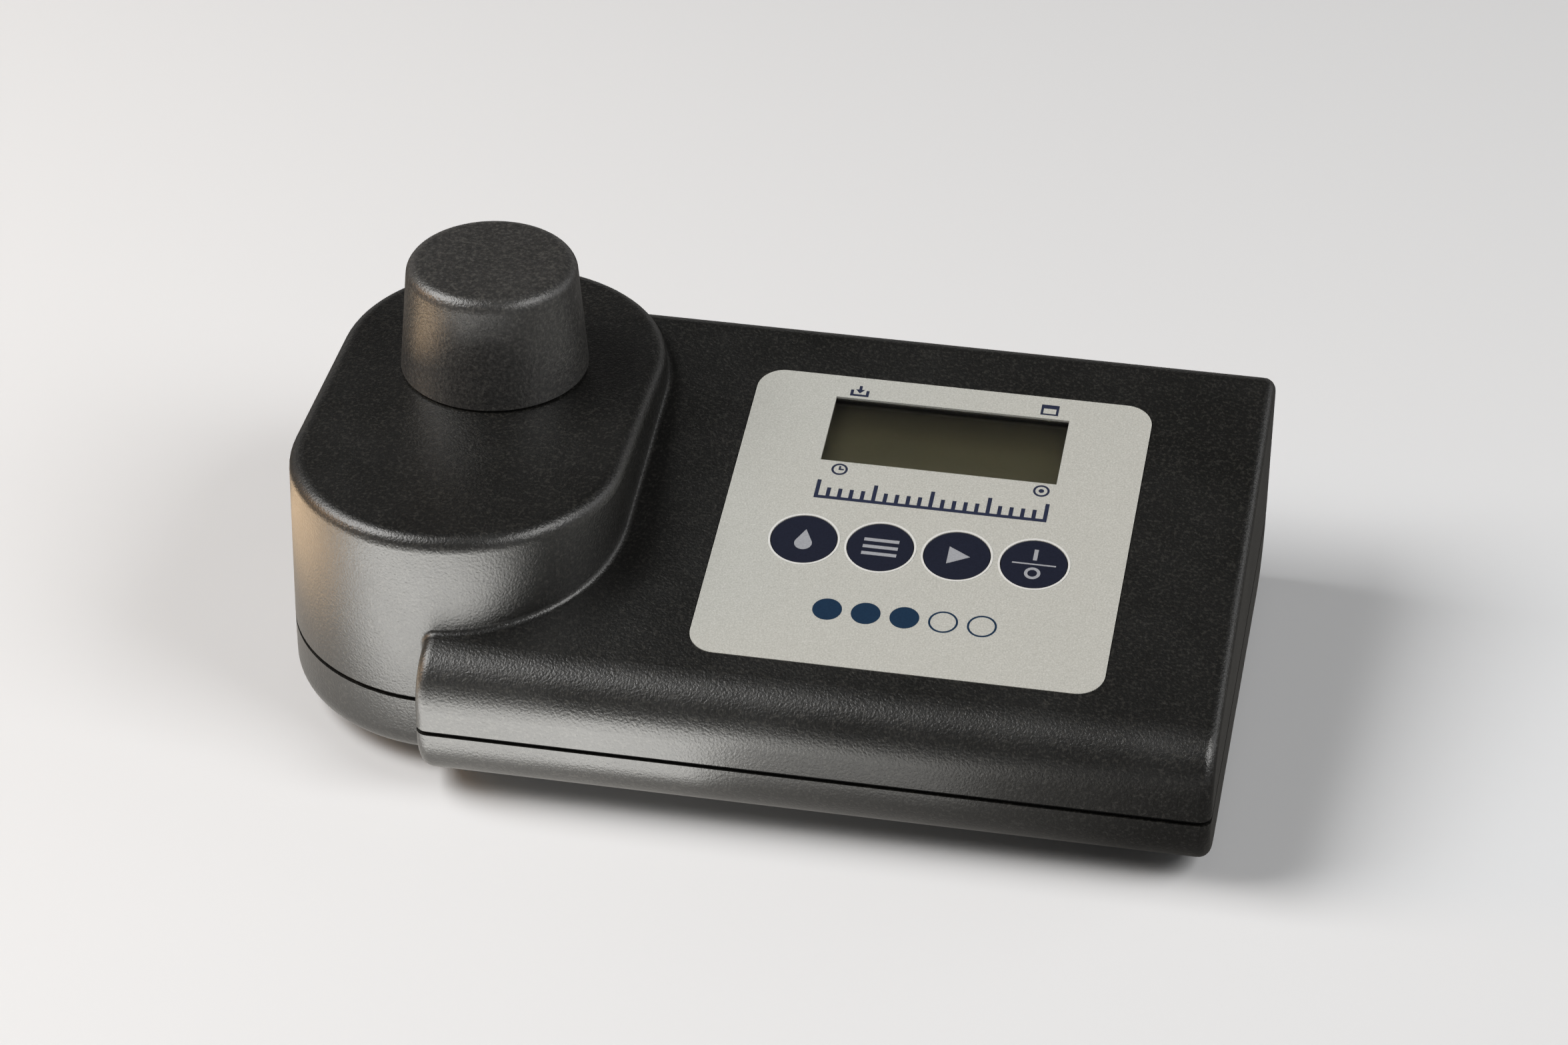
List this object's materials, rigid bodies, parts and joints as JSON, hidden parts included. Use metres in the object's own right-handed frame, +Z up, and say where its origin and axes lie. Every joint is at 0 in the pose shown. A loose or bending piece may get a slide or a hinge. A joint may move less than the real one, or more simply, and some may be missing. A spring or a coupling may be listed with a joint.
{
  "type": "turbidity meter",
  "caption": "Hand-held turbidity meter with a sloping keypad deck, a small display and an upright sample tower under a round light cap.",
  "frame": {"origin": "centre of the object's outline on the surface that its feet stand on", "axes": "+X along the length, away from the sample tower; +Y to the back, where the deck is high; +Z up"},
  "size_m": [0.19, 0.1166, 0.0787],
  "materials": {
    "housing": "fine satin texture",
    "cap_plastic": "fine satin texture",
    "foil": "matt silver-grey print",
    "key_print": "matt dark blue print",
    "clear_pane": "clear",
    "display_cell": "reflective liquid crystal cell",
    "clear_film": "plain film",
    "flex_film": "amber film",
    "spring_steel": "bright",
    "screw_steel": "zinc plated",
    "black_plastic": "matt black",
    "circuit_board": "green solder mask",
    "optic_glass": "clear",
    "emitter_body": "dark tinted epoxy",
    "wire_cover": "soft cover",
    "battery_jacket": "plain jacket",
    "seal_rubber": "matt",
    "foot_rubber": "matt"
  },
  "bodies": {
    "housing": {"upper_shell": "housing", "lower_shell": "housing", "housing_seal": "seal_rubber", "front_foil": "foil", "keypad_spacer": "clear_film", "keypad_circuit": "clear_film", "key_domes": "spring_steel", "keypad_tail": "flex_film", "lcd_window": "clear_pane", "lcd_glass": "display_cell", "lcd_frame": "black_plastic", "zebra_strips": "seal_rubber", "main_board": "circuit_board", "board_components": "black_plastic", "board_screws": "screw_steel", "sample_chamber": "black_plastic", "chamber_screws": "screw_steel", "optic_windows": "optic_glass", "sensor_holders": "black_plastic", "ir_led": "emitter_body", "photodiode": "emitter_body", "led_board": "circuit_board", "detector_board": "circuit_board", "sensor_board_screws": "screw_steel", "sensor_leads": "wire_cover", "battery": "battery_jacket", "battery_snap": "black_plastic", "battery_leads": "wire_cover", "battery_cover": "housing", "cover_screws": "screw_steel", "case_screws": "screw_steel", "rubber_feet": "foot_rubber"},
    "cap": {"light_cap": "cap_plastic"},
    "info_key": {"key_info": "key_print"},
    "mode_key": {"key_mode": "key_print"},
    "read_key": {"key_read": "key_print"},
    "power_key": {"key_power": "key_print"}
  },
  "joints": [
    {"name": "cap_lift", "type": "slide", "parent": "housing", "child": "cap", "axis": [0, 0, 1], "range_m": [0, 0.08]},
    {"name": "info_press", "type": "slide", "parent": "housing", "child": "info_key", "axis": [0, 0.1788, -0.9839], "range_m": [0, 0.00035], "stiffness_N_per_m": 1500},
    {"name": "mode_press", "type": "slide", "parent": "housing", "child": "mode_key", "axis": [0, 0.1788, -0.9839], "range_m": [0, 0.00035], "stiffness_N_per_m": 1500},
    {"name": "read_press", "type": "slide", "parent": "housing", "child": "read_key", "axis": [0, 0.1788, -0.9839], "range_m": [0, 0.00035], "stiffness_N_per_m": 1500},
    {"name": "power_press", "type": "slide", "parent": "housing", "child": "power_key", "axis": [0, 0.1788, -0.9839], "range_m": [0, 0.00035], "stiffness_N_per_m": 1500}
  ]
}
